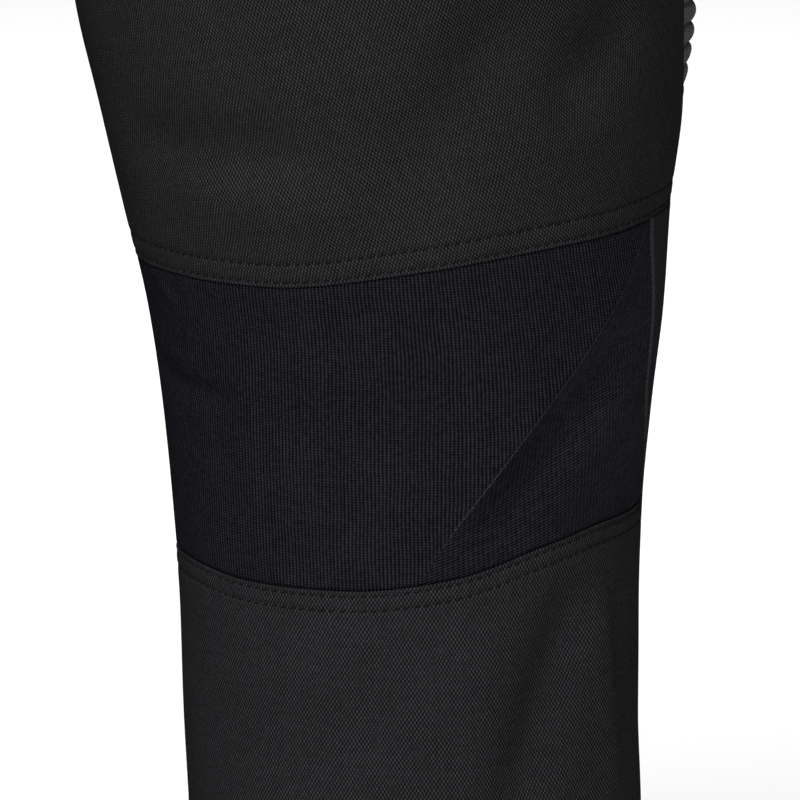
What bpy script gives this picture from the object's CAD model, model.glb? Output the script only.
import math

import bpy
import numpy as np
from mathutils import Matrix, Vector


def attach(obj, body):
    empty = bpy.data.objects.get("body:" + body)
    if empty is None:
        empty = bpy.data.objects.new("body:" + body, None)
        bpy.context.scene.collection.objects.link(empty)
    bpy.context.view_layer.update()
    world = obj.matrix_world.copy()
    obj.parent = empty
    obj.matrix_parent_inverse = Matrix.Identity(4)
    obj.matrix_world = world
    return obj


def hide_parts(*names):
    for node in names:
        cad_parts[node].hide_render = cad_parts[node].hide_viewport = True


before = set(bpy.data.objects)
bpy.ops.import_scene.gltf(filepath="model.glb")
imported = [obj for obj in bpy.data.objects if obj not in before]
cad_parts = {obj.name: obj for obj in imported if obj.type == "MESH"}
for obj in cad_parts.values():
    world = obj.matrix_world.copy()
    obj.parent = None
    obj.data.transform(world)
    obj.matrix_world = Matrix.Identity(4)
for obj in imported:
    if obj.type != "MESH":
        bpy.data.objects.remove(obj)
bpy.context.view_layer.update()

# Sizes are in millimetres in the row frame: +Z up, the wearer's front at -Y, their right leg at -X.
MM = 0.001
SEAM_GAP = 0.3
BAND_TALL = 45.0
BAND_WALL = 3.0
BAND_EASE_OUT = 0.4
BAND_UNDERLAP = 36.0
BAND_OVERLAP = 12.0
BAND_EASE = 60.0
HEM = -1080.0
BACK_RISE = 16.0
KNIT_RECESS = 0.3
RIBS = 20
RIB_TALL = 2.4
ACCORDION_PUFF = 1.6
ACCORDION_EDGE = 14.0
ACCORDION_LOW_EDGE = 14.0
ACCORDION_FLAT = -462.0
FLY_WIDE = 42.0
FLY_STRAIGHT = -165.0
FLY_ROUND = 44.0
FLY_CLEAR = 0.6
FLY_WALL = 1.5

# Sewing
TUCK = 3.0
BAND_TUCK = 1.0
SIDE_MEET = 0.25
MIDDLE_MEET = 0.3
CROTCH = (-258, -275)
TUCK_DEEP = 0.5
EDGE_ROUND = 0.5
STRIP_EDGE = 0.9
NEEDLE_GAUGE = 6.35
LOW_GAUGE = 5.0
EDGE_STITCH = 1.7
STITCH_PITCH = 3.6
STITCH_LONG = 2.5
STITCH_SLANT = 0.28
THREAD_RADIUS = 0.24
GROOVE_DEEP = 0.45
GROOVE_WIDE = 0.9

# Cloth
WARP_PITCH = 0.62
WEFT_PITCH = 1.0
KNIT_WALE = 1.25
KNIT_COURSE = 0.94
FACET_SLANT = 0.5
FACET_SPREAD = 0.55
FACET_SHADE = 0.5
CREST_WIDE = 0.35
CREST_TONE = 3.6
THIGH_GRAIN = math.radians(14)

# Camera
CAMERA_AZIMUTH = 180.0
CAMERA_HEIGHT = 13.0
CAMERA_AWAY = 3000.0
SEEN_WIDE = 272.0
KNEE_CENTRE = np.array([-131.2, -14.0, -600.0])
KNEE_RIGHT_OF_MIDDLE = 2.4

# One half of the garment at each height. Above the crotch the inner side lies past the middle and is cut off there.
BODY = (
    # height, outer, inner, front, back
    (0, 166, -166, -124, 130),
    (-45, 172, -172, -127, 135),
    (-100, 189, -189, -131, 146),
    (-145, 200, -200, -131, 152),
    (-190, 207, -111, -129, 151),
    (-225, 211, -53, -124, 144),
    (-255, 214, -13, -118, 132),
    (-270, 215.5, 0.5, -115, 126),
    (-320, 219.5, 5, -111, 111),
    (-390, 224.5, 11.5, -107, 97),
    (-425, 225.5, 15, -105, 92),
    (-460, 224.5, 19.5, -103, 87),
    (-495, 224, 27.5, -100, 80),
    (-530, 220.2, 35.3, -97, 73),
    (-565, 218.5, 42.8, -93.5, 66.5),
    (-600, 214.7, 47.6, -90, 62),
    (-635, 211.2, 51.2, -87, 63),
    (-670, 209.9, 54, -84, 66),
    (-705, 210, 55, -81, 68),
    (-740, 211.5, 56.5, -78, 70),
    (-900, 213, 61, -73, 73),
    (-1080, 214, 62, -72, 76),
)

# Edges that run round the leg: around, height. Around is 0 at the inseam, 0.25 in front, 0.5 outside, 0.75 behind.
BAND_SEAM = ((0, -45), (1, -45))
ACCORDION_TOP = ((0.045, -384), (0.25, -374), (0.5, -377), (1, -377))
KNEE_TOP = (
    (0, -547), (0.13, -545), (0.26, -540.5), (0.39, -534.5), (0.478, -530.5), (0.56, -529),
    (0.64, -531), (0.74, -538), (0.83, -545), (0.93, -546.5), (1, -548),
)
KNEE_LOW = (
    (0.45, -633), (0.59, -632), (0.65, -635.5), (0.72, -644),
    (0.79, -648), (0.87, -648.8), (0.94, -647.5), (1, -649),
)
HEM_EDGE = ((0, HEM), (1, HEM))

# Edges that run down the leg: height, around
INSEAM_FRONT = ((HEM, 0), (-384, 0.045), (-291, 0), (0, 0))
INSEAM_BACK = ((HEM, 1), (-384, 1.045), (-291, 1), (0, 1))
SIDE_HIGH = (
    (-530, 0.478), (-510, 0.488), (-488, 0.503), (-465, 0.516), (-407, 0.524), (-340, 0.5), (-45, 0.5),
)
SIDE_LOW = (
    (HEM, 0.505), (-740, 0.49), (-650, 0.497), (-620, 0.522), (-590, 0.546), (-560, 0.552), (-529, 0.566),
)

PANELS = (
    # name, cloth, slot, edge in front, edge behind, top edge, low edge
    ("thigh_back", "woven", "woven_shell", SIDE_HIGH, INSEAM_BACK, BAND_SEAM, KNEE_TOP),
    ("knee_back", "knit", "stretch_knit", SIDE_LOW, INSEAM_BACK, KNEE_TOP, KNEE_LOW),
    ("calf_back", "woven", "woven_shell", SIDE_LOW, INSEAM_BACK, KNEE_LOW, HEM_EDGE),
    ("thigh_front", "woven", "woven_shell", INSEAM_FRONT, SIDE_HIGH, BAND_SEAM, ACCORDION_TOP),
    ("knee_accordion", "accordion", "accordion_stretch", INSEAM_FRONT, SIDE_HIGH, ACCORDION_TOP, KNEE_TOP),
    ("shin_front", "woven", "woven_shell", INSEAM_FRONT, SIDE_LOW, KNEE_TOP, HEM_EDGE),
)
# Walls of the cloths, and how far each is tucked in under its neighbours
WALLS = {"woven": 1.4, "knit": 1.2, "accordion": 1.4}
TUCKS = {"woven": 0.0, "knit": TUCK, "accordion": TUCK}

# Rows of topstitching, each at a distance inside one edge of a panel
TOPSTITCH = (
    # panel, edge, distance
    ("thigh_back", "low", EDGE_STITCH),
    ("thigh_back", "low", EDGE_STITCH + NEEDLE_GAUGE),
    ("calf_back", "top", EDGE_STITCH),
    ("calf_back", "top", EDGE_STITCH + LOW_GAUGE),
    ("thigh_front", "low", EDGE_STITCH),
    ("thigh_front", "low", EDGE_STITCH + NEEDLE_GAUGE),
    ("calf_back", "low", 18.0),
    ("shin_front", "low", 18.0),
)

# A ridge where rise is above zero, a trough where it is below, with its widths towards the front and the back.
FOLDS = (
    # leg, around, height, to around, to height, rise, width before, width after, bend
    ("right", 0.554, -520, 0.738, -642, 3.4, 5, 28, 3),
    ("right", 0.562, -556, 0.704, -640, -2.4, 9, 8, 3),
    ("right", 0.610, -642, 0.684, -742, -5.0, 11, 12, 3),
    ("right", 0.680, -650, 0.730, -745, 2.0, 16, 24, 0),
    ("right", 0.600, -640, 0.575, -745, 2.6, 6, 12, 0),
    ("right", 0.940, -502, 0.770, -498, -3.2, 9, 12, 0),
    ("right", 0.900, -514, 0.750, -516, 2.4, 12, 12, 0),
    ("right", 0.665, -438, 0.760, -522, -5.0, 20, 15, 0),
    ("right", 0.588, -448, 0.668, -490, -3.6, 13, 13, 0),
    ("left", 0.560, -530, 0.720, -632, 2.8, 7, 26, -4),
    ("left", 0.610, -650, 0.690, -735, -4.2, 11, 14, 3),
    ("left", 0.870, -470, 0.780, -515, -3.4, 13, 16, 0),
    ("left", 0.680, -440, 0.740, -520, -3.8, 14, 17, 0),
    ("both", 0.80, -262, 0.66, -330, -3.0, 14, 20, 0),
    ("both", 0.84, -300, 0.68, -385, 2.4, 18, 20, 0),
    ("both", 0.16, -262, 0.30, -312, -2.6, 14, 16, 0),
    ("both", 0.14, -300, 0.33, -350, 2.0, 14, 18, 0),
    ("right", 0.66, -890, 0.90, -930, -2.2, 16, 16, 4),
    ("left", 0.62, -870, 0.88, -915, -2.4, 16, 16, -4),
    ("right", 0.58, -985, 0.88, -1002, 2.2, 12, 16, 3),
    ("left", 0.62, -1000, 0.90, -985, 2.2, 12, 16, 3),
    ("right", 0.10, -960, 0.38, -985, -2.4, 14, 16, 4),
    ("left", 0.12, -975, 0.40, -950, -2.4, 14, 16, 4),
    ("right", 0.12, -690, 0.40, -655, -1.8, 14, 16, 4),
    ("left", 0.10, -660, 0.38, -695, -1.8, 14, 16, 4),
)

KNIT_FOLD = FOLDS[0]

# Smaller creases, which the solids leave out
CREASES = (
    # leg, around, height, to around, to height, rise, width before, width after, bend
    ("right", 0.556, -521, 0.734, -639, 0.9, 1.2, 4.0, 3),
    ("right", 0.950, -544, 0.905, -563, 0.7, 2.2, 3.0, 0),
    ("right", 0.975, -583, 0.860, -586, -1.6, 4.0, 5.0, 2),
    ("right", 0.970, -571, 0.890, -578, 0.6, 4.0, 5.0, 2),
)


def smooth_rows(rows, at):
    """The columns after the first, read between the rows along a curve that never overshoots them."""
    rows = np.array(sorted(rows), float)
    x, y = rows[:, 0], rows[:, 1:]
    width = np.diff(x)
    rate = np.diff(y, axis=0) / width[:, None]
    low, high = rate[:-1], rate[1:]
    same_way = low * high > 0
    between = np.where(same_way, 2 * low * high / np.where(same_way, low + high, 1), 0)
    slope = np.vstack([rate[:1], between, rate[-1:]])
    at = np.clip(at, x[0], x[-1])
    i = np.clip(np.searchsorted(x, at) - 1, 0, len(x) - 2)
    w = width[i][..., None]
    f = ((at - x[i]) / width[i])[..., None]
    found = (2 * f**3 - 3 * f**2 + 1) * y[i] + (f**3 - 2 * f**2 + f) * w * slope[i]
    found += (3 * f**2 - 2 * f**3) * y[i + 1] + (f**3 - f**2) * w * slope[i + 1]
    return np.moveaxis(found, -1, 0)


def curved_edge(rows, at):
    return smooth_rows(rows, at)[0]


def straight_edge(rows, at):
    places, values = np.array(sorted(rows)).T
    return np.interp(at, places, values)


def ease(x):
    """A smooth step from 0 to 1."""
    x = np.clip(x, 0, 1)
    return x * x * (3 - 2 * x)


def ring(height):
    """Half sizes and centre of the section at a height, and the angle at which it is cut at the middle."""
    outer, inner, front, back = smooth_rows(BODY, height)
    half_wide, half_deep = (outer - inner) / 2, (back - front) / 2
    middle_x, middle_y = (outer + inner) / 2, (front + back) / 2
    cut = np.arccos(np.clip((middle_x + MIDDLE_MEET) / half_wide, -1, 1))
    return half_wide, half_deep, middle_x, middle_y, cut


def girth(height):
    half_wide, half_deep, _, _, cut = ring(height)
    return 2 * (np.pi - cut) * np.sqrt((half_wide**2 + half_deep**2) / 2)


def raised_behind(x, y, height):
    """A point with the higher waist behind added to its height."""
    rise = BACK_RISE * ease((y + 130) / 270) * ease((height + 150) / 150)
    return np.stack([x, y, height + rise], -1)


def surface(angle, height):
    half_wide, half_deep, middle_x, middle_y, _ = ring(height)
    x = middle_x - half_wide * np.cos(angle)
    y = middle_y - half_deep * np.sin(angle)
    return raised_behind(x, y, height)


def beside_fold(fold, around, height):
    """The share of a fold's length at a place, and how far the place is behind the fold's line."""
    _, a0, h0, a1, h1, _, _, _, bend = fold
    long_way = girth(height)
    run, drop = (a1 - a0) * long_way, h1 - h0
    x, y = (around - a0) * long_way, height - h0
    length = np.hypot(run, drop)
    along = (x * run + y * drop) / length**2
    across = (x * drop - y * run) / length * np.sign(drop) - bend * 4 * along * (1 - along)
    return along, across


def fold_lift(leg, around, height, folds=FOLDS):
    """How far the folds move the cloth out."""
    lift = np.zeros(np.shape(height))
    for fold in folds:
        if fold[0] not in (leg, "both"):
            continue
        rise, before, after = fold[5:8]
        along, across = beside_fold(fold, around, height)
        wide = np.where(across > 0, after, before)
        lift = lift + rise * np.exp(-((across / wide) ** 2)) * ease(along / 0.3) * ease((1 - along) / 0.3)
    return lift


def place(side, around, height, lift):
    """A point of one leg, moved out from the garment's surface."""
    cut = ring(height)[4]
    angle = cut + around * 2 * (np.pi - cut)
    step_angle = surface(angle + 0.004, height) - surface(angle - 0.004, height)
    step_height = surface(angle, height + 0.5) - surface(angle, height - 0.5)
    normal = np.cross(step_angle, step_height)
    normal /= np.linalg.norm(normal, axis=-1, keepdims=True)
    point = surface(angle, height) + normal * np.asarray(lift)[..., None]
    point[..., 0] *= side
    return point


class Panel:
    """One cut piece: the places of its points, and how far each is from its four edges."""

    def __init__(self, leg, side, name, cloth, slot, *edges):
        self.leg, self.side, self.name, self.cloth, self.slot = leg, side, name, cloth, slot
        self.edges = edges
        self.tuck = TUCKS[cloth]

    def grid(self, down, over):
        """Around and height of the points at these shares of the way down and over."""
        front_edge, back_edge, top_edge, low_edge = self.edges
        down, over = np.asarray(down)[:, None], np.asarray(over)[None, :]
        around = np.broadcast_to(over, (len(down), over.shape[1])).copy()
        height = np.zeros_like(around)
        inset = SEAM_GAP / 2 - self.tuck
        for _ in range(12):
            top = curved_edge(top_edge, around) - inset + (BAND_TUCK if top_edge is BAND_SEAM else 0)
            low = curved_edge(low_edge, around) + inset
            height = top + (low - top) * down
            first = straight_edge(front_edge, height) - SIDE_MEET / girth(height)
            last = straight_edge(back_edge, height) + SIDE_MEET / girth(height)
            around = first + (last - first) * over
        return around, height

    def from_edges(self, around, height):
        """Distances in from the seams in front, behind, at the top and at the low end."""
        front_edge, back_edge, top_edge, low_edge = self.edges
        long_way = girth(height)
        return {
            "front": (around - straight_edge(front_edge, height)) * long_way - SEAM_GAP / 2,
            "behind": (straight_edge(back_edge, height) - around) * long_way - SEAM_GAP / 2,
            "top": curved_edge(top_edge, around) - height - SEAM_GAP / 2,
            "low": height - curved_edge(low_edge, around) - SEAM_GAP / 2,
        }

    def lift(self, around, height):
        """How far out the cloth's outside lies, without the turn of its edges."""
        away = self.from_edges(around, height)
        lift = fold_lift(self.leg, around, height) + unevenness(self.side, around, height)
        lift = lift + fold_lift(self.leg, around, height, CREASES)
        if self.cloth == "knit":
            lift = lift - KNIT_RECESS
        if self.cloth == "accordion":
            lift = lift + self.ribs(around, height, away)
        if self.tuck:
            ends = np.minimum(away["top"], away["low"])
            lift = lift - TUCK_DEEP * (1 - ease((ends + 0.6) / 2.2))
        for panel, edge, inset in TOPSTITCH:
            if panel == self.name:
                lift = lift - GROOVE_DEEP * np.exp(-(((away[edge] - inset) / GROOVE_WIDE) ** 2))
        return lift

    def shade(self, away, height):
        """Less light where tucked cloth goes in under its neighbour, and a pale edge on the strip beside the knit."""
        if self.name == "shin_front":
            return 1 + STRIP_EDGE * np.exp(-((away["behind"] - 0.1) / 0.28) ** 2) * ease((height + 625) / 30)
        if not self.tuck:
            return np.ones_like(away["top"])
        top = 0.7 + 0.3 * ease((away["top"] + 0.3) / 1.8)
        low = 0.3 + 0.7 * ease((away["low"] + 0.3) / 1.5)
        shade = top * low
        if self.cloth == "accordion":
            shade = shade * (0.35 + 0.75 * self.crest(away))
        return shade

    def crest(self, away):
        """0 between two ribs, 1 on top of one."""
        part = RIBS * away["top"] / (away["top"] + away["low"]) % 1.0
        return np.sqrt(np.clip(1 - (2 * part - 1) ** 2, 0, 1))

    def ribs(self, around, height, away):
        """The accordion's ribs, level round the leg, dying out at the side seams, sooner lower down."""
        fade = ACCORDION_EDGE + ACCORDION_LOW_EDGE * ease((ACCORDION_FLAT - height) / 45)
        edge = ease(np.minimum(away["front"], away["behind"]) / fade)
        ends = ease(np.minimum(away["top"], away["low"]) / 7.0)
        return (ACCORDION_PUFF + RIB_TALL * self.crest(away)) * edge * ends

    def turned_edge(self, away):
        """How far the cloth's face drops where it turns in at its edges."""
        ends = np.minimum(away["top"], away["low"]) + self.tuck
        near = np.clip(np.minimum(ends, np.minimum(away["front"], away["behind"])), 0, EDGE_ROUND)
        return EDGE_ROUND - np.sqrt(EDGE_ROUND**2 - (EDGE_ROUND - near) ** 2)


def unevenness(side, around, height):
    """The slight waviness of hung cloth, not quite the same on both legs."""
    x = (around - 0.75) * girth(height)
    shift = 1.7 * side
    wave = np.sin(x / 19 + height / 31 + shift) * 0.16
    wave += np.sin(x / 11 - height / 23 + 2.1 * shift) * 0.08
    wave += np.sin(x / 37 + 0.6 * shift) * np.sin(height / 29) * 0.22
    return wave


def near_edges(length, step, fine=1.2, zone=0.0, rim=EDGE_ROUND):
    """Shares along a length, a step apart, closer in a zone at both ends, and closest where the ends are rounded."""
    close = rim * np.array([0, 0.06, 0.2, 0.45])
    seam = np.arange(rim, max(zone, rim + 0.01), fine)
    ends = np.concatenate([close, seam])
    start, stop = ends[-1], length - ends[-1]
    middle = np.linspace(start, stop, max(3, int(round((stop - start) / step))) + 1)[1:-1]
    return np.concatenate([ends, middle, length - ends[::-1]]) / length


def shell(name, outside, inside, flat, shade, flip):
    """A closed thin wall between two grids of points, with its cloth's flat places as UVs and its seam shade."""
    high, wide = outside.shape[:2]
    points = np.vstack([outside.reshape(-1, 3), inside.reshape(-1, 3)]) * MM
    out = np.arange(high * wide).reshape(high, wide)
    quads = [np.stack([out[:-1, :-1], out[1:, :-1], out[1:, 1:], out[:-1, 1:]], -1).reshape(-1, 4)]
    quads.append(quads[0][:, ::-1] + high * wide)
    rim = np.concatenate([out[0, :-1], out[:-1, -1], out[-1, :0:-1], out[:0:-1, 0]])
    after = np.roll(rim, -1)
    quads.append(np.stack([rim, after, after + high * wide, rim + high * wide], -1))
    quads = np.vstack(quads)
    if flip:
        quads = quads[:, ::-1]
    mesh = bpy.data.meshes.new(name)
    mesh.from_pydata(points.tolist(), [], quads.tolist())
    places = np.vstack([flat.reshape(-1, 2)] * 2) * MM
    mesh.uv_layers.new(name="cut").data.foreach_set("uv", places[quads.reshape(-1)].ravel())
    shades = np.concatenate([shade.ravel(), shade.ravel()])
    mesh.attributes.new("seam", "FLOAT", "POINT").data.foreach_set("value", shades)
    mesh.shade_smooth()
    thing = bpy.data.objects.new(name, mesh)
    bpy.context.scene.collection.objects.link(thing)
    return thing


def stitches(name, side, paths):
    """Thread dashes along rows of stitching. Each path is (around, height, lift) at close steps."""
    points, faces = [], []
    rise = np.array([-1.4, 0.15, 0.55, 0.15, -1.4])
    along = np.array([-0.5, -0.36, 0.0, 0.36, 0.5]) * STITCH_LONG
    turns = np.arange(6) * np.pi / 3
    for around, height, lift in paths:
        line = place(side, around, height, lift)
        outer = place(side, around, height, lift + 1.0)
        run = np.concatenate([[0], np.cumsum(np.linalg.norm(np.diff(line, axis=0), axis=1))])
        for middle in np.arange(STITCH_PITCH / 2, run[-1], STITCH_PITCH):
            at = np.clip(middle + along, 0, run[-1])
            centre = np.stack([np.interp(at, run, line[:, k]) for k in range(3)], -1)
            out = np.stack([np.interp(at, run, outer[:, k]) for k in range(3)], -1) - centre
            way = centre[-1] - centre[0]
            way = way / np.linalg.norm(way)
            out = out - (out @ way)[:, None] * way
            out /= np.linalg.norm(out, axis=1, keepdims=True)
            sideways = np.cross(out, way)
            centre = centre + out * (rise * THREAD_RADIUS)[:, None] + sideways * (along * STITCH_SLANT)[:, None]
            start = len(points)
            for c, o, s in zip(centre, out, sideways):
                for turn in turns:
                    points.append(c + THREAD_RADIUS * (np.cos(turn) * s + np.sin(turn) * o))
            for i in range(4):
                for k in range(6):
                    a, b = start + 6 * i + k, start + 6 * i + (k + 1) % 6
                    faces.append((a, b, b + 6, a + 6))
            faces.append(tuple(range(start, start + 6))[::-1])
            faces.append(tuple(range(start + 24, start + 30)))
    mesh = bpy.data.meshes.new(name)
    mesh.from_pydata((np.array(points) * MM).tolist(), [], faces)
    mesh.shade_smooth()
    thing = bpy.data.objects.new(name, mesh)
    bpy.context.scene.collection.objects.link(thing)
    return thing


class Wire:
    """A shader socket that can be reckoned with as if it were a number."""

    def __init__(self, tree, socket):
        self.tree, self.socket = tree, socket

    def math(self, operation, *others):
        node = self.tree.nodes.new("ShaderNodeMath")
        node.operation = operation
        for put, value in zip(node.inputs, (self, *others)):
            if isinstance(value, Wire):
                self.tree.links.new(value.socket, put)
            else:
                put.default_value = value
        return Wire(self.tree, node.outputs[0])

    def __add__(self, other):
        return self.math("ADD", other)

    def __sub__(self, other):
        return self.math("SUBTRACT", other)

    def __mul__(self, other):
        return self.math("MULTIPLY", other)

    def __truediv__(self, other):
        return self.math("DIVIDE", other)

    def __pow__(self, other):
        return self.math("POWER", other)

    def __rsub__(self, other):
        return self.math("MULTIPLY", -1.0).math("ADD", other)

    def __abs__(self):
        return self.math("ABSOLUTE")

    __radd__ = __add__
    __rmul__ = __mul__

    def sine(self):
        return self.math("SINE")

    def floor(self):
        return self.math("FLOOR")

    def held(self, low=0.0, high=1.0):
        return self.math("MAXIMUM", low).math("MINIMUM", high)


class Look:
    """A material with its Principled shader, and a way to add other nodes."""

    def __init__(self, name, roughness, specular=0.2, metallic=0.0, sheen=0.0):
        self.made = bpy.data.materials.new(name)
        self.made.use_nodes = True
        self.tree = self.made.node_tree
        self.shader = self.tree.nodes["Principled BSDF"]
        self.shader.inputs["Roughness"].default_value = roughness
        self.shader.inputs["Specular IOR Level"].default_value = specular
        self.shader.inputs["Metallic"].default_value = metallic
        self.shader.inputs["Sheen Weight"].default_value = sheen
        self.shader.inputs["Sheen Roughness"].default_value = 0.6

    def node(self, kind, settings=(), **inputs):
        node = self.tree.nodes.new(kind)
        for key, value in dict(settings).items():
            setattr(node, key, value)
        for key, value in inputs.items():
            put = node.inputs[key.replace("_", " ")]
            if isinstance(value, Wire):
                self.tree.links.new(value.socket, put)
            else:
                put.default_value = value
        return node

    def wire(self, node, output=0):
        return Wire(self.tree, node.outputs[output])

    def flat_places(self):
        """The two places on the flat cloth, in millimetres."""
        uv = self.node("ShaderNodeUVMap", {"uv_map": "cut"})
        parts = self.node("ShaderNodeSeparateXYZ", Vector=self.wire(uv))
        return self.wire(parts, 0) * 1000.0, self.wire(parts, 1) * 1000.0

    def point(self, x, y, z=0.0):
        return self.wire(self.node("ShaderNodeCombineXYZ", X=x, Y=y, Z=z))

    def noise(self, at, scale, detail=2.0, roughness=0.5):
        made = self.node("ShaderNodeTexNoise", Vector=at, Scale=scale, Detail=detail, Roughness=roughness)
        return self.wire(made, 0)

    def chance(self, x, y=0.0):
        """A chance number from 0 to 1 for each whole place."""
        return self.wire(self.node("ShaderNodeTexWhiteNoise", {"noise_dimensions": "2D"}, Vector=self.point(x, y)))

    def seam_shade(self):
        """The mesh's own shade along its seams, 1 on open cloth."""
        return self.wire(self.node("ShaderNodeAttribute", {"attribute_name": "seam"}), 2)

    def colour(self, tone, tint):
        """A grey of this strength, tinted."""
        scaled = self.node("ShaderNodeVectorMath", {"operation": "SCALE"}, Scale=tone)
        scaled.inputs[0].default_value = tint
        self.tree.links.new(scaled.outputs[0], self.shader.inputs["Base Color"])

    def bump(self, height, distance, strength=1.0):
        made = self.node("ShaderNodeBump", Strength=strength, Distance=distance, Height=height)
        self.tree.links.new(made.outputs[0], self.shader.inputs["Normal"])


def woven_look(name, tint, grain):
    """Heavy plain weave: bright crowns where a warp yarn lies on top, dark dips between them."""
    look = Look(name, 0.85, specular=0.0)
    u, v = look.flat_places()
    wander = look.noise(look.point(u, v), 0.05, 1.0) - 0.5
    wander_down = look.noise(look.point(v, u, 7.0), 0.05, 1.0) - 0.5
    across = (u * math.cos(grain) + v * math.sin(grain)) / WARP_PITCH + wander * 2.0
    down = (v * math.cos(grain) - u * math.sin(grain)) / WEFT_PITCH + wander_down * 1.5
    column, row = across.floor(), down.floor()
    crown = ((across * math.pi).sine() * (down * math.pi).sine() * 0.5 + 0.5) ** 2.2
    yarn = look.chance(column, 3.0) * 0.15 + look.chance(row, 11.0) * 0.15 + look.chance(column, row) * 0.7
    mottle = look.noise(look.point(u, v, 3.0), 0.04, 3.0)
    seam = look.seam_shade()
    tone = (0.3 + crown * 2.2) * (0.75 + yarn * 0.5) * (0.85 + mottle * 0.3) * seam.held() + (seam - 1.0).held() * 1.4
    look.colour(tone, tint)
    look.bump(crown, 0.00012)
    return look.made


def crest_line(fold, heights):
    """Flat places of a fold's crest at the top, half way and at the low end."""
    places = []
    for height in heights:
        around = np.linspace(0.4, 0.9, 501)
        across = beside_fold(fold, around, np.full_like(around, height))[1]
        middle = np.interp(0, across, around)
        places.append(((0.75 - middle) * float(girth(np.array(float(height)))), height))
    return places


def beside_crest(u, v, places):
    """The share of a crest's length at a place, and how far the place is from the bent line through three places."""
    (u0, v0), (u1, v1), (u2, v2) = places
    run, drop = u2 - u0, v2 - v0
    length = math.hypot(run, drop)
    sag = ((u1 - u0) * drop - (v1 - v0) * run) / length
    x, y = u - u0, v - v0
    along = (x * run + y * drop) / length**2
    across = (x * drop - y * run) / length - along * (1.0 - along) * 4.0 * sag
    return along, across


def knit_look(name, tint, crest=None):
    """Rib knit: upright wales, each a column of small slanting beads."""
    look = Look(name, 0.85, specular=0.0)
    u, v = look.flat_places()
    line = 0.0
    if crest:
        along, away = beside_crest(u, v, crest)
        ends = (along * 8.0).held() * ((1.0 - along) * 5.0).held()
        line = (1.0 - abs(away) / CREST_WIDE).held() * ends * CREST_TONE
        facet = (away * -20.0).held()
        slanted = v + away * FACET_SLANT
        spread = u * FACET_SPREAD
        u, v = u + facet * (slanted - u), v + facet * (spread - v)
    wander = look.noise(look.point(u, v), 0.07, 1.0) - 0.5
    across = u / KNIT_WALE + wander * 0.8
    down = v / KNIT_COURSE + wander * 0.6
    wale = (across * 2 * math.pi).sine() * 0.5 + 0.5
    slant = (across * 2 * math.pi + 0.8).sine() * 0.16
    bead = ((down + slant) * 2 * math.pi).sine() * 0.5 + 0.5
    height = wale ** 1.2 * (0.25 + 0.75 * bead)
    yarn = look.chance(across.floor(), down.floor()) * 0.75 + look.chance(across.floor(), 5.0) * 0.15
    mottle = look.noise(look.point(u, v, 3.0), 0.05, 3.0)
    tone = (0.35 + 2.5 * height) * (0.75 + yarn * 0.6) * (0.85 + mottle * 0.3) * look.seam_shade()
    tone = tone + (0.6 + yarn * 0.8) * line
    look.colour(tone, tint)
    look.bump(height, 0.00015)
    return look.made


def plain_look(name, colour, roughness, specular=0.3, metallic=0.0):
    look = Look(name, roughness, specular, metallic)
    look.shader.inputs["Base Color"].default_value = (*colour, 1)
    return look.made


def aim(thing, towards):
    thing.rotation_mode = "QUATERNION"
    thing.rotation_quaternion = (Vector(towards) - thing.location).to_track_quat("-Z", "Y")


def camera_axes():
    a, e = math.radians(CAMERA_AZIMUTH), math.radians(CAMERA_HEIGHT)
    back = np.array([math.sin(a) * math.cos(e), -math.cos(a) * math.cos(e), math.sin(e)])
    right = np.array([math.cos(a), math.sin(a), 0.0])
    return right, np.cross(back, right), back


def add_camera():
    right, _, back = camera_axes()
    target = KNEE_CENTRE - right * KNEE_RIGHT_OF_MIDDLE
    data = bpy.data.cameras.new("camera")
    data.sensor_width = 36.0
    data.lens = 36.0 * CAMERA_AWAY / SEEN_WIDE
    data.clip_start, data.clip_end = 0.05, 60.0
    camera = bpy.data.objects.new("camera", data)
    camera.location = (target + back * CAMERA_AWAY) * MM
    aim(camera, target * MM)
    bpy.context.scene.collection.objects.link(camera)
    bpy.context.scene.camera = camera
    return target * MM


def add_light(name, target, towards_right, up, towards_camera, away, size, power):
    """A square soft light, placed by how far it is to the camera's right, above and in front of the leg."""
    right, rise, back = camera_axes()
    way = right * towards_right + np.array([0, 0, 1.0]) * up + back * towards_camera
    data = bpy.data.lights.new(name, "AREA")
    data.size, data.energy = size, power
    light = bpy.data.objects.new(name, data)
    light.location = target + way / np.linalg.norm(way) * away
    aim(light, target)
    bpy.context.scene.collection.objects.link(light)


def add_floor():
    mesh = bpy.data.meshes.new("floor")
    reach, level = 30.0, (HEM - 1.5) * MM
    corners = [(-reach, -reach, level), (reach, -reach, level), (reach, reach, level), (-reach, reach, level)]
    mesh.from_pydata(corners, [], [(0, 1, 2, 3)])
    floor = bpy.data.objects.new("floor", mesh)
    bpy.context.scene.collection.objects.link(floor)
    look = Look("pale floor", 0.9, specular=0.1)
    look.shader.inputs["Base Color"].default_value = (0.85, 0.85, 0.85, 1)
    look.shader.inputs["Emission Color"].default_value = (1, 1, 1, 1)
    look.shader.inputs["Emission Strength"].default_value = 0.1
    mesh.materials.append(look.made)


def add_world():
    world = bpy.data.worlds.new("studio")
    world.use_nodes = True
    ground = world.node_tree.nodes["Background"]
    ground.inputs[0].default_value = (1, 1, 1, 1)
    ground.inputs[1].default_value = 0.2
    bpy.context.scene.world = world


target = add_camera()
add_world()
add_floor()
add_light("key", target, -0.35, 0.8, 1.0, 2.8, 1.2, 102)
add_light("fill", target, 1.0, 0.3, 0.6, 3.0, 2.0, 8)
add_light("backdrop", target + [0, -2.4, -0.48], 0, 1.0, 0, 1.7, 2.6, 45)
bpy.context.scene.view_settings.view_transform = "Standard"

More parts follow.
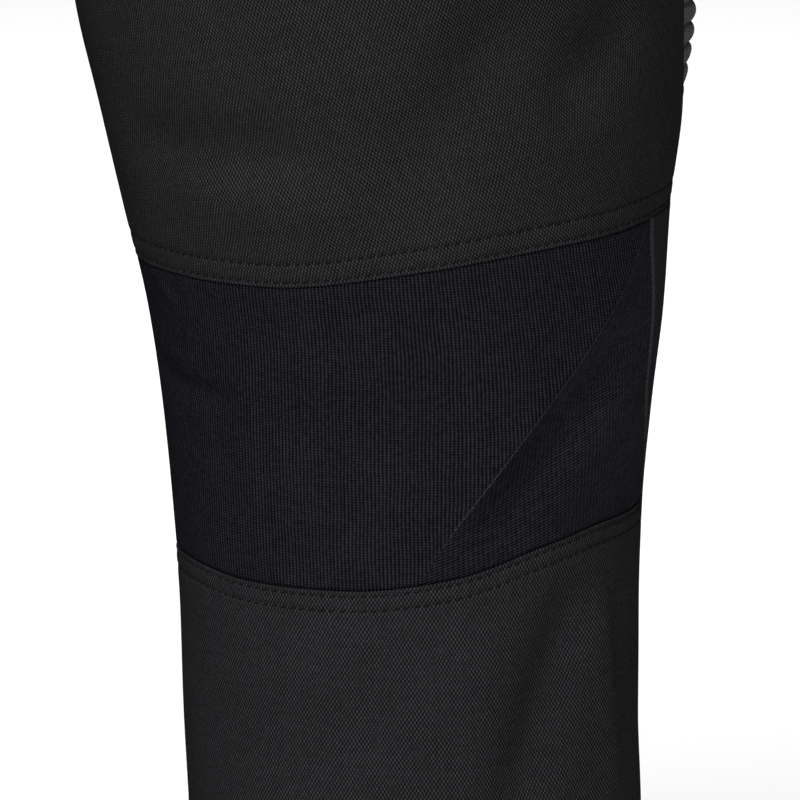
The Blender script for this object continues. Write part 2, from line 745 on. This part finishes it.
KNIT_TINT = (0.0083, 0.0079, 0.0102)
LOOKS = {
    ("thigh", "woven"): woven_look("thigh weave", (0.0158, 0.0153, 0.0165), THIGH_GRAIN),
    ("other", "woven"): woven_look("shell weave", (0.0162, 0.0154, 0.0168), 0.0),
    ("folded", "knit"): knit_look("folded rib knit", KNIT_TINT, crest_line(KNIT_FOLD, (-524, -581, -638))),
    ("other", "knit"): knit_look("rib knit", KNIT_TINT),
    ("other", "accordion"): knit_look("accordion knit", (0.058, 0.0575, 0.052)),
}
THREAD = plain_look("black thread", (0.006, 0.006, 0.0065), 0.9, 0.02)
BUTTON = plain_look("dark lacquered metal", (0.03, 0.03, 0.032), 0.35, 0.5, 0.9)

# Steps between points, down and over, on the leg that the camera sees and on the other one
STEPS = {
    "right": {"woven": (2.4, 2.4), "knit": (1.2, 1.2), "accordion": (0.9, 3.0)},
    "left": {"woven": (5.0, 5.0), "knit": (2.5, 2.5), "accordion": (1.2, 6.0)},
}


def settle(thing, look, node=None):
    thing.data.materials.append(look)
    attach(thing, "root")
    if node:
        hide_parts(node)


def build_panel(panel):
    row_step, column_step = STEPS[panel.leg][panel.cloth]
    name = f"{panel.leg}_{panel.name}"
    around, height = panel.grid(np.linspace(0, 1, 41), np.linspace(0, 1, 41))
    widths = (around[:, -1] - around[:, 0]) * girth(height[:, 20])
    lengths = height[0] - height[-1]
    zone = 6.0 if panel.tuck else 11.0
    down = near_edges(lengths.mean(), row_step, 0.6 if panel.side < 0 else 1.2, zone)
    over = near_edges(widths.mean(), column_step, 0.8, 6.0 if panel.tuck else 0.0)
    if panel.edges[2] is BAND_SEAM:
        inseam = height[:, 0] if panel.name == "thigh_front" else height[:, -1]
        close = (inseam[0] - np.arange(*CROTCH, -0.5)) / (inseam[0] - inseam[-1])
        down = np.sort(np.concatenate([down, close]))
    around, height = panel.grid(down, over)
    away = panel.from_edges(around, height)
    lift, turn = panel.lift(around, height), panel.turned_edge(away)
    thick = WALLS[panel.cloth]
    inner = fold_lift(panel.leg, around, height) + unevenness(panel.side, around, height)
    inner = lift if panel.cloth != "accordion" else inner
    outside = place(panel.side, around, height, lift - turn)
    inside = place(panel.side, around, height, np.minimum(inner, lift) - thick + turn)
    flat = np.stack([(around - 0.75) * girth(height) * panel.side, height], -1)
    shade = panel.shade(away, height)
    if name == "right_knee_back":
        along, across = beside_fold(KNIT_FOLD, around, height)
        shade = shade * (1 + FACET_SHADE * ease(-across / 2.5) * ease(along / 0.15) * ease((0.8 - along) / 0.4))
    thing = shell(name + "_cloth", outside, inside, flat, shade, panel.side < 0)
    kind = {"right_thigh_back": "thigh", "left_thigh_back": "thigh", "right_knee_back": "folded"}.get(name, "other")
    settle(thing, LOOKS.get((kind, panel.cloth)) or LOOKS[("other", panel.cloth)], name)
    rows = [row for row in TOPSTITCH if row[0] == panel.name]
    if rows:
        paths = [stitch_path(panel, edge, inset) for _, edge, inset in rows]
        thread = stitches(name + "_stitching", panel.side, paths)
        settle(thread, THREAD)
    wide, long = widths.max() * MM, lengths.max() * MM
    if panel.cloth == "accordion":
        long *= 1.35
    area = float(widths.mean() * MM * lengths.mean() * MM * (1.35 if panel.cloth == "accordion" else 1))
    min(area, wide * long)


def stitch_path(panel, edge, inset):
    """Places along a row of stitching, a distance inside the top or low edge."""
    over = np.linspace(0.004, 0.996, 400)
    share = 0.0 if edge == "top" else 1.0
    around, height = panel.grid([share], over)
    height = height + (-inset if edge == "top" else inset)
    lift = panel.lift(around, height)
    return around[0], height[0], lift[0]


def band():
    """The waistband, its outer end lapped over its under end at the front."""
    columns = 260
    heights = np.concatenate([[0, -0.1, -0.3, -0.7], np.linspace(-2, SEAM_GAP / 2 - BAND_TALL + 2, 14)])
    low = SEAM_GAP / 2 - BAND_TALL
    heights = np.concatenate([heights, [low + 0.7, low + 0.3, low + 0.1, low]])
    way_round = girth(np.array(0.0)) * 2
    start, stop = -BAND_OVERLAP / way_round, 1 + BAND_UNDERLAP / way_round
    share = np.linspace(start, stop, columns + 1)
    over = 1 - ease((share * way_round - BAND_UNDERLAP - 6) / BAND_EASE)
    lift = BAND_EASE_OUT + over * (BAND_WALL + SEAM_GAP)
    grids = {0.0: [], BAND_WALL: []}
    for height in heights:
        angle = share * 2 * np.pi
        outer, _, front, back = smooth_rows(BODY, np.array(height))
        middle, deep = (front + back) / 2, (back - front) / 2
        normal = np.stack([np.sin(angle) * deep, -np.cos(angle) * outer, 0 * angle], -1)
        normal /= np.linalg.norm(normal, axis=-1, keepdims=True)
        x, y = outer * np.sin(angle), middle - deep * np.cos(angle)
        at = raised_behind(x, y, np.full_like(x, height))
        near = min(-height, height - low, 0.7)
        turn = 0.7 - math.sqrt(max(0.49 - (0.7 - near) ** 2, 0))
        groove = 0.35 * sum(math.exp(-(((inset - d) / 1.0) ** 2)) for inset in (2.0,) for d in (-height, height - low))
        grids[0.0].append(at + normal * (lift - turn - groove)[:, None])
        grids[BAND_WALL].append(at + normal * (lift - BAND_WALL + turn)[:, None])
    outside, inside = np.array(grids[0.0]), np.array(grids[BAND_WALL])
    flat = np.stack(np.broadcast_arrays(share[None, :] * way_round, heights[:, None]), -1)
    thing = shell("waistband_cloth", outside, inside, flat, np.ones(flat.shape[:2]), False)
    settle(thing, LOOKS[("other", "woven")], "waistband")
    way_round * (stop - start) * MM


def fly_flap():
    rows = np.concatenate([np.linspace(-45, FLY_STRAIGHT, 40), FLY_STRAIGHT - FLY_ROUND * np.sin(np.linspace(0.05, 1.25, 16))])
    over = near_edges(FLY_WIDE, 2.0)
    low = np.clip((FLY_STRAIGHT - rows) / FLY_ROUND, 0, 1)
    wide = np.sqrt(1 - low**2) * FLY_WIDE
    height = np.broadcast_to((rows - SEAM_GAP / 2)[:, None], (len(rows), len(over)))
    around = (SEAM_GAP + wide[:, None] * over[None, :]) / girth(height)
    away = np.minimum(wide[:, None] * over, wide[:, None] * (1 - over))
    near = np.clip(away, 0, 0.7)
    turn = 0.7 - np.sqrt(0.49 - (0.7 - near) ** 2)
    lift = fold_lift("left", around, height) + unevenness(1, around, height)
    groove = 0.3 * np.exp(-(((wide[:, None] * (1 - over) - 3) / 0.9) ** 2))
    outside = place(1, around, height, lift + FLY_CLEAR + FLY_WALL - turn - groove)
    inside = place(1, around, height, lift + FLY_CLEAR + turn)
    flat = np.stack([around * girth(height), height], -1)
    thing = shell("fly_flap_cloth", outside, inside, flat, np.ones(flat.shape[:2]), False)
    settle(thing, LOOKS[("other", "woven")], "fly_flap")
    paths = []
    for inset in (3.0, 9.0):
        reach = np.sqrt(1 - low**2) * (FLY_WIDE - inset)
        along = (SEAM_GAP + reach) / girth(rows)
        paths.append((along, rows, fold_lift("left", along, rows) + FLY_CLEAR + FLY_WALL - 0.1))
    thread = stitches("fly_flap_stitching", 1, paths)
    settle(thread, THREAD)


for leg_name, side_sign in (("right", -1), ("left", 1)):
    for row in PANELS:
        build_panel(Panel(leg_name, side_sign, *row))
band()
fly_flap()
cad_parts["button"].data.materials.clear()
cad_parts["button"].data.materials.append(BUTTON)
